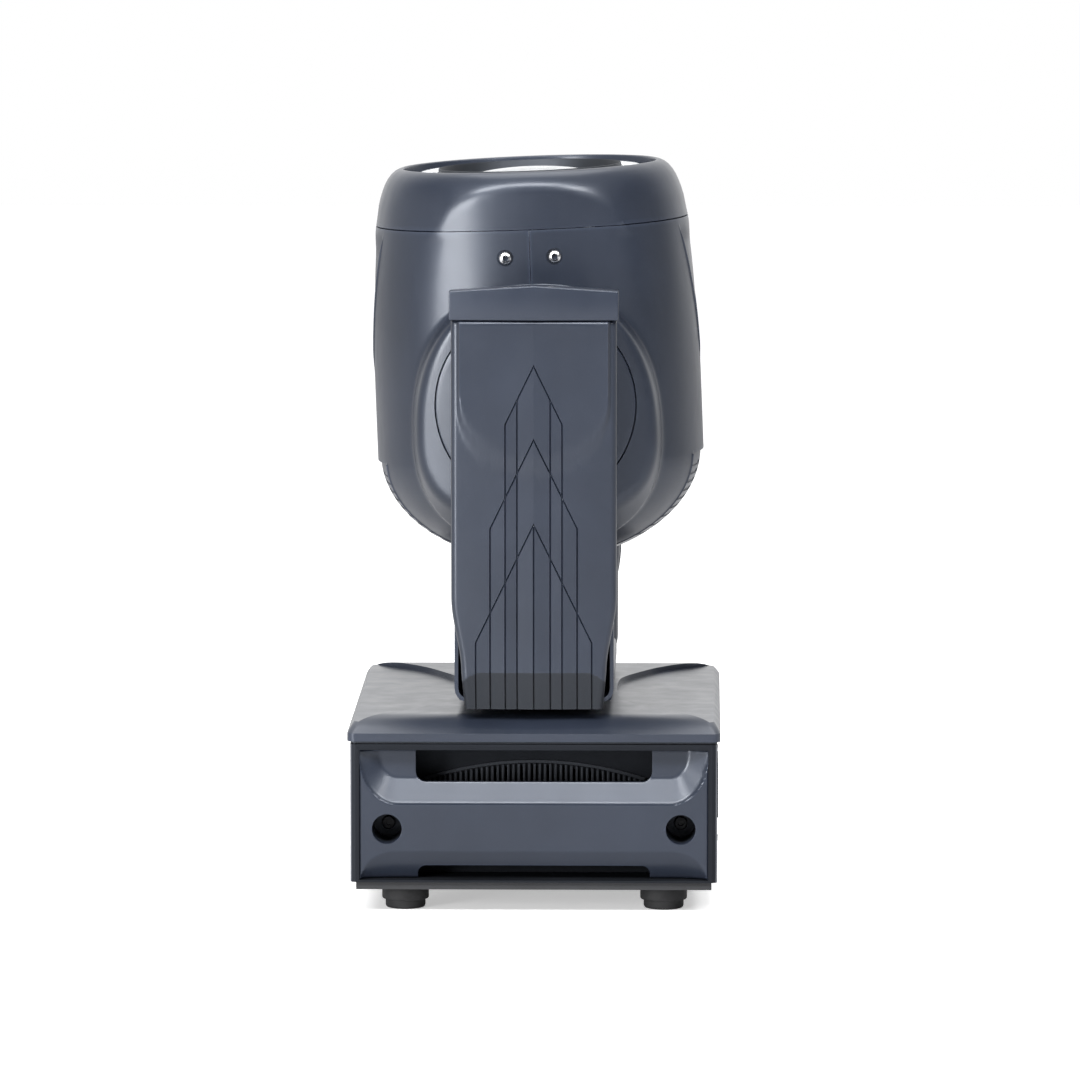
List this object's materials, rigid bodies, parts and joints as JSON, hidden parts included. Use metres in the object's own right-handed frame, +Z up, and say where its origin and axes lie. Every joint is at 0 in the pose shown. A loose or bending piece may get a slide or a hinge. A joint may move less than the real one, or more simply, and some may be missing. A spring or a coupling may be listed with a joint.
{
  "type": "moving head light",
  "caption": "Stage light with a tilting lens head in a panning U-shaped yoke on a base with a carrying handle at each end.",
  "frame": {"origin": "on the pan axis, in the plane of the feet", "axes": "+Z up along the pan axis; the tilt axis is parallel to Y; the handles are at the -Y and +Y ends, the control panel on -X and the sockets on +X"},
  "size_m": [0.2166, 0.294, 0.4338],
  "materials": {
    "housing": "satin moulded",
    "dark_plastic": "fine texture",
    "steel": "black powder coat",
    "screw": "bright zinc",
    "rubber": "matt",
    "glass": "clear, polished",
    "halo": "opal diffuser",
    "aluminium": "machined",
    "board": "solder mask",
    "screen": "polished window"
  },
  "bodies": {
    "base": {"base_chassis": "steel", "base_shell": "housing", "base_top_cover": "housing", "handle_panel_front": "housing", "handle_panel_rear": "housing", "foot_1": "rubber", "foot_2": "rubber", "foot_3": "rubber", "foot_4": "rubber", "control_panel": "dark_plastic", "display_window": "screen", "control_board": "board", "connector_panel": "dark_plastic", "power_inlet": "dark_plastic", "data_inlet": "dark_plastic", "data_outlet": "dark_plastic", "power_supply": "board", "pan_bearing": "steel", "pan_motor": "dark_plastic", "pan_belt": "rubber"},
    "yoke": {"pan_spindle": "dark_plastic", "yoke_frame": "steel", "crossbar_cover": "housing", "arm_outer_cover_front": "housing", "arm_inner_cover_front": "housing", "arm_outer_cover_rear": "housing", "arm_inner_cover_rear": "housing", "tilt_bearing_front": "steel", "tilt_bearing_rear": "steel", "tilt_motor": "dark_plastic", "tilt_belt": "rubber"},
    "head": {"head_shell_left": "housing", "head_shell_right": "housing", "front_bezel": "housing", "lens_retainer": "dark_plastic", "halo_ring": "halo", "front_lens": "glass", "head_frame": "aluminium", "trunnion_front": "housing", "trunnion_rear": "housing", "tilt_pulley": "aluminium", "head_screw_1": "screw", "head_screw_2": "screw", "head_screw_3": "screw", "head_screw_4": "screw", "led_module": "halo", "heat_sink": "aluminium", "fan_frame": "dark_plastic", "colour_motor": "dark_plastic", "gobo_motor": "dark_plastic"},
    "pan_motor_pulley": {"pan_motor_pulley": "aluminium"},
    "tilt_motor_pulley": {"tilt_motor_pulley": "aluminium"},
    "fan_rotor": {"fan_rotor": "dark_plastic"},
    "colour_wheel": {"colour_wheel": "aluminium"},
    "gobo_wheel": {"gobo_wheel": "aluminium"},
    "focus_carriage": {"focus_carriage": "dark_plastic"},
    "menu_button_1": {"menu_button_1": "dark_plastic"},
    "menu_button_2": {"menu_button_2": "dark_plastic"},
    "menu_button_3": {"menu_button_3": "dark_plastic"},
    "menu_button_4": {"menu_button_4": "dark_plastic"}
  },
  "joints": [
    {"name": "pan", "type": "hinge", "parent": "base", "child": "yoke", "pos_m": [0, 0, 0.1], "axis": [0, 0, 1], "range_deg": [-270, 270]},
    {"name": "tilt", "type": "hinge", "parent": "yoke", "child": "head", "pos_m": [0, 0, 0.294], "axis": [0, 1, 0], "range_deg": [-132.8, 137.2]},
    {"name": "pan_motor_turn", "type": "hinge", "parent": "base", "child": "pan_motor_pulley", "pos_m": [0, 0.075, 0.089], "axis": [0, 0, 1], "range_deg": [-1620, 1620]},
    {"name": "tilt_motor_turn", "type": "hinge", "parent": "yoke", "child": "tilt_motor_pulley", "pos_m": [0, 0.1115, 0.194], "axis": [0, 1, 0], "range_deg": [-540, 552]},
    {"name": "fan_spin", "type": "hinge", "parent": "head", "child": "fan_rotor", "pos_m": [0.00284, 0, 0.22006], "axis": [-0.0384, 0, 0.9993], "continuous": true},
    {"name": "colour_wheel_spin", "type": "hinge", "parent": "head", "child": "colour_wheel", "pos_m": [0.02942, 0, 0.30974], "axis": [-0.0384, 0, 0.9993], "continuous": true},
    {"name": "gobo_wheel_spin", "type": "hinge", "parent": "head", "child": "gobo_wheel", "pos_m": [-0.03115, 0, 0.32343], "axis": [-0.0384, 0, 0.9993], "continuous": true},
    {"name": "focus", "type": "slide", "parent": "head", "child": "focus_carriage", "axis": [-0.0384, 0, 0.9993], "range_m": [-0.016, 0.016]},
    {"name": "menu_button_1_press", "type": "slide", "parent": "base", "child": "menu_button_1", "axis": [1, 0, 0], "range_m": [0, 0.001], "stiffness_N_per_m": 400},
    {"name": "menu_button_2_press", "type": "slide", "parent": "base", "child": "menu_button_2", "axis": [1, 0, 0], "range_m": [0, 0.001], "stiffness_N_per_m": 400},
    {"name": "menu_button_3_press", "type": "slide", "parent": "base", "child": "menu_button_3", "axis": [1, 0, 0], "range_m": [0, 0.001], "stiffness_N_per_m": 400},
    {"name": "menu_button_4_press", "type": "slide", "parent": "base", "child": "menu_button_4", "axis": [1, 0, 0], "range_m": [0, 0.001], "stiffness_N_per_m": 400}
  ],
  "couplings": [
    {"joint": "pan_motor_turn", "follows": "pan", "ratio": 6},
    {"joint": "tilt_motor_turn", "follows": "tilt", "ratio": 4}
  ]
}
